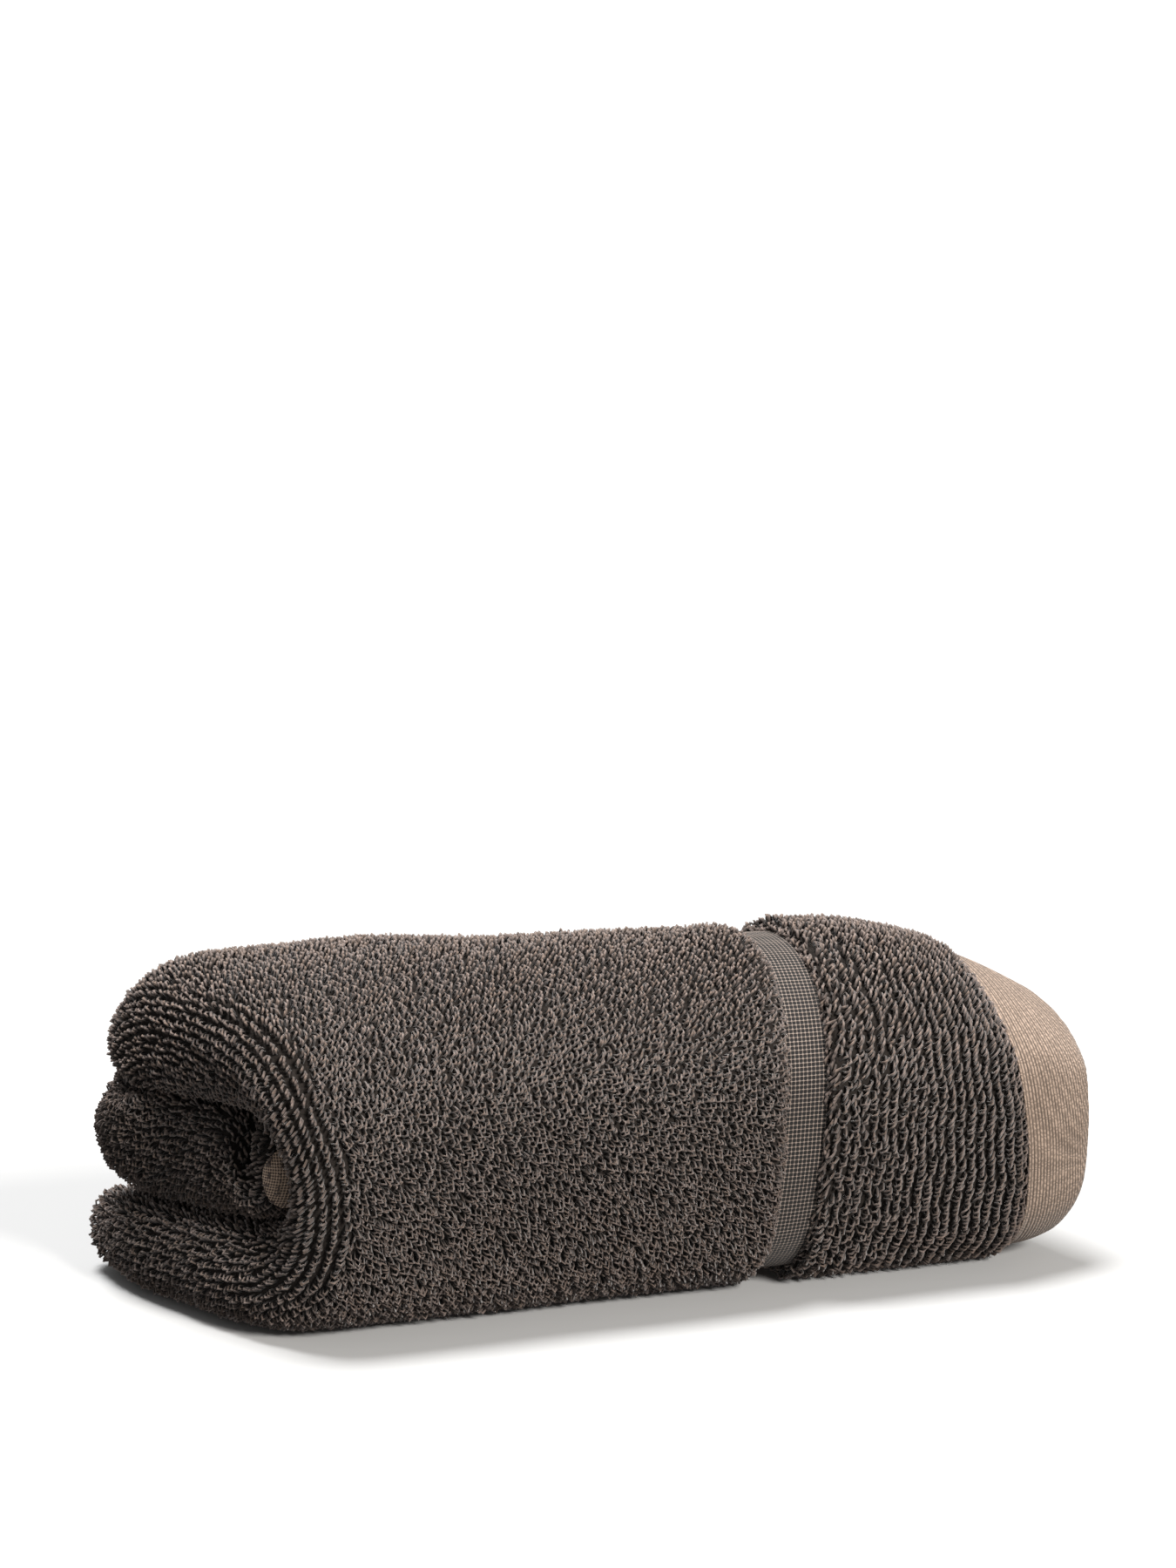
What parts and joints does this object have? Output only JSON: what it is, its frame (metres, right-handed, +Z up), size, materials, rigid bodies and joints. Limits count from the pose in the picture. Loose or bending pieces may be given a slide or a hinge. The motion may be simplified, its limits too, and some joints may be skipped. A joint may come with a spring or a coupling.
{
  "type": "rolled hand towel",
  "caption": "Terry hand towel folded in thirds and rolled up, with a flat woven band, a ribbed border and a plain hem at one end.",
  "frame": {"origin": "middle of the roll's outline seen from above, on the surface that the roll rests on", "axes": "+X along the roll towards its hemmed end, +Y to the back, where the tail of the cloth lies, +Z up"},
  "size_m": [0.2778, 0.121, 0.1055],
  "materials": {
    "terry": "looped cotton pile"
  },
  "bodies": {
    "root": {"towel": "terry"}
  },
  "joints": []
}
